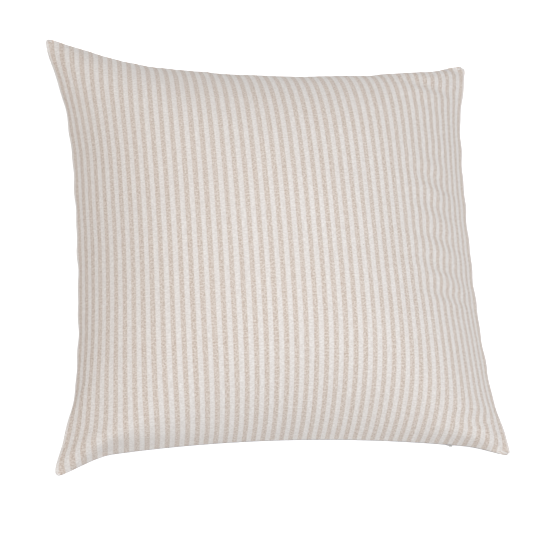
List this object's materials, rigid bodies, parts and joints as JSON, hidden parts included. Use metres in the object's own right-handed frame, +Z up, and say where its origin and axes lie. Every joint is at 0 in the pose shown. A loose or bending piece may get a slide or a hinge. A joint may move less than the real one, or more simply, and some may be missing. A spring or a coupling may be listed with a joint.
{
  "type": "throw pillow",
  "caption": "Square knife-edge throw pillow: striped cotton face, plain back, concealed zipper in one seam, and a fibre-filled insert inside.",
  "frame": {"origin": "on the floor under the middle of the pillow, which lies on its plain back", "axes": "+Z up through the striped face, X across the stripes, Y along them, with the zipper in the seam on the -Y side"},
  "size_m": [0.449, 0.449, 0.154],
  "materials": {
    "striped_cotton": "woven, matt",
    "plain_cotton": "woven, matt",
    "thread": "spun, matt",
    "label_satin": "satin",
    "insert_cloth": "non-woven, matt",
    "fibre": "matt",
    "zipper_tape": "twill, matt",
    "zipper_coil": "satin",
    "zipper_metal": "enamel, semi-gloss"
  },
  "bodies": {
    "root": {"front_panel": "striped_cotton", "back_panel": "plain_cotton", "cover_seam_thread": "thread", "care_label": "label_satin", "insert_shell_front": "insert_cloth", "insert_shell_back": "insert_cloth", "insert_seam_thread": "thread", "insert_closing_thread": "thread", "insert_label": "label_satin", "fibre_fill": "fibre", "zipper_tape_front": "zipper_tape", "zipper_tape_back": "zipper_tape", "zipper_coil_front": "zipper_coil", "zipper_coil_back": "zipper_coil", "zipper_thread_front": "thread", "zipper_thread_back": "thread", "zipper_top_stop_front": "zipper_metal", "zipper_top_stop_back": "zipper_metal", "zipper_bottom_stop": "zipper_metal", "bar_tack_left": "thread", "bar_tack_right": "thread"},
    "slider": {"zipper_slider": "zipper_metal"},
    "pull_tab": {"zipper_pull_tab": "zipper_metal"}
  },
  "joints": [
    {"name": "zipper_run", "type": "hinge", "parent": "root", "child": "slider", "pos_m": [0, -1.78685, 0.066], "axis": [0, 0, 1], "range_deg": [0, 12.26]},
    {"name": "puller_swing", "type": "hinge", "parent": "slider", "child": "pull_tab", "pos_m": [0.16921, -0.21713, 0.066], "axis": [-0.9942, 0.1072, 0], "range_deg": [0, 220]}
  ]
}
